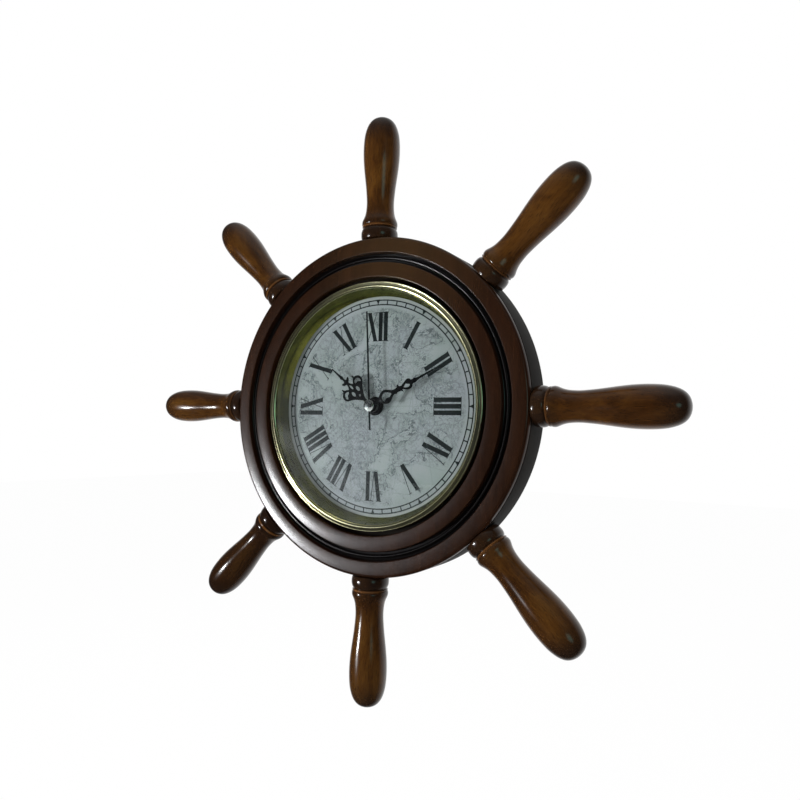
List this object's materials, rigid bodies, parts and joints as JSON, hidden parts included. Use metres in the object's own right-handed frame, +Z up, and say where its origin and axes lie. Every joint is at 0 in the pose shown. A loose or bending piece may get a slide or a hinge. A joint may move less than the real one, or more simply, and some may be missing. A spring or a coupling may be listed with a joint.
{
  "type": "ship wheel wall clock",
  "caption": "Quartz wall clock in a turned wooden ship's wheel with radial handles, a brass bezel, an antique-chart dial with Roman numerals and pierced black hands",
  "frame": {"origin": "on the wall behind the clock, on the wheel's axis, at the mount wall", "axes": "+X right as seen by someone reading the dial, +Y into the wall, +Z up towards twelve o'clock; the dial faces -Y"},
  "size_m": [0.4, 0.0301, 0.4],
  "materials": {
    "case_wood": "dark stained, satin lacquer",
    "rim_wood": "dark red-brown stain, satin lacquer",
    "handle_wood": "walnut brown, glossy lacquer",
    "brass": "polished",
    "glass": "clear, polished",
    "dial_sheet": "aluminium sheet with a matt printed paper face",
    "black_enamel": "black paint, semi-matt",
    "polished_cap": "polished",
    "steel": "zinc plated",
    "black_plastic": "moulded, fine matt",
    "white_nylon": "moulded nylon",
    "green_board": "printed circuit board",
    "copper_wire": "enamelled copper wire",
    "battery_sleeve": "plain printed sleeve"
  },
  "bodies": {
    "case": {"case_body": "case_wood", "front_rim": "rim_wood", "handle_1": "handle_wood", "handle_2": "handle_wood", "handle_3": "handle_wood", "handle_4": "handle_wood", "handle_5": "handle_wood", "handle_6": "handle_wood", "handle_7": "handle_wood", "handle_8": "handle_wood", "bezel": "brass", "glass": "glass", "sight_ring": "brass", "dial": "dial_sheet", "dial_washer": "black_enamel", "dial_nut": "black_enamel", "threaded_bush": "black_plastic", "movement_shell": "black_plastic", "movement_cover": "black_plastic", "stator": "steel", "coil": "copper_wire", "circuit_board": "green_board", "battery": "battery_sleeve", "contact_negative": "steel", "contact_positive": "steel", "hanger_plate": "steel", "hanger_screw_left": "steel", "hanger_screw_right": "steel"},
    "seconds": {"second_wheel": "white_nylon", "second_hand": "black_enamel", "hand_cap": "polished_cap"},
    "third": {"third_wheel": "white_nylon"},
    "centre": {"centre_wheel": "white_nylon"},
    "intermediate": {"intermediate_wheel": "white_nylon"},
    "motor": {"rotor": "black_plastic"},
    "minutes": {"minute_arbor": "brass", "minute_hand": "black_enamel"},
    "motion": {"motion_wheel": "white_nylon"},
    "hours": {"hour_wheel": "white_nylon", "hour_hand": "black_enamel"},
    "knob": {"setting_knob": "white_nylon"}
  },
  "joints": [
    {"name": "second_turn", "type": "hinge", "parent": "case", "child": "seconds", "pos_m": [0, 0, 0], "axis": [0, 1, 0], "continuous": true},
    {"name": "third_turn", "type": "hinge", "parent": "case", "child": "third", "pos_m": [0, 0, 0.00945], "axis": [0, 1, 0], "continuous": true},
    {"name": "centre_turn", "type": "hinge", "parent": "case", "child": "centre", "pos_m": [0, 0, 0], "axis": [0, 1, 0], "continuous": true},
    {"name": "intermediate_turn", "type": "hinge", "parent": "case", "child": "intermediate", "pos_m": [0.00977, 0, 0], "axis": [0, 1, 0], "continuous": true},
    {"name": "rotor_turn", "type": "hinge", "parent": "case", "child": "motor", "pos_m": [0.01667, 0, 0.00251], "axis": [0, 1, 0], "continuous": true},
    {"name": "minute_turn", "type": "hinge", "parent": "case", "child": "minutes", "pos_m": [0, 0, 0], "axis": [0, 1, 0], "continuous": true},
    {"name": "motion_turn", "type": "hinge", "parent": "case", "child": "motion", "pos_m": [-0.008, 0, 0], "axis": [0, 1, 0], "continuous": true},
    {"name": "hour_turn", "type": "hinge", "parent": "case", "child": "hours", "pos_m": [0, 0, 0], "axis": [0, 1, 0], "continuous": true},
    {"name": "knob_turn", "type": "hinge", "parent": "case", "child": "knob", "pos_m": [-0.017, 0, 0], "axis": [0, 1, 0], "continuous": true}
  ],
  "couplings": [
    {"joint": "third_turn", "follows": "second_turn", "ratio": -0.13333},
    {"joint": "centre_turn", "follows": "second_turn", "ratio": 0.016667},
    {"joint": "intermediate_turn", "follows": "second_turn", "ratio": -5},
    {"joint": "rotor_turn", "follows": "second_turn", "ratio": 30},
    {"joint": "motion_turn", "follows": "minute_turn", "ratio": -0.33333},
    {"joint": "hour_turn", "follows": "minute_turn", "ratio": 0.083333},
    {"joint": "knob_turn", "follows": "minute_turn", "ratio": 0.66667}
  ]
}
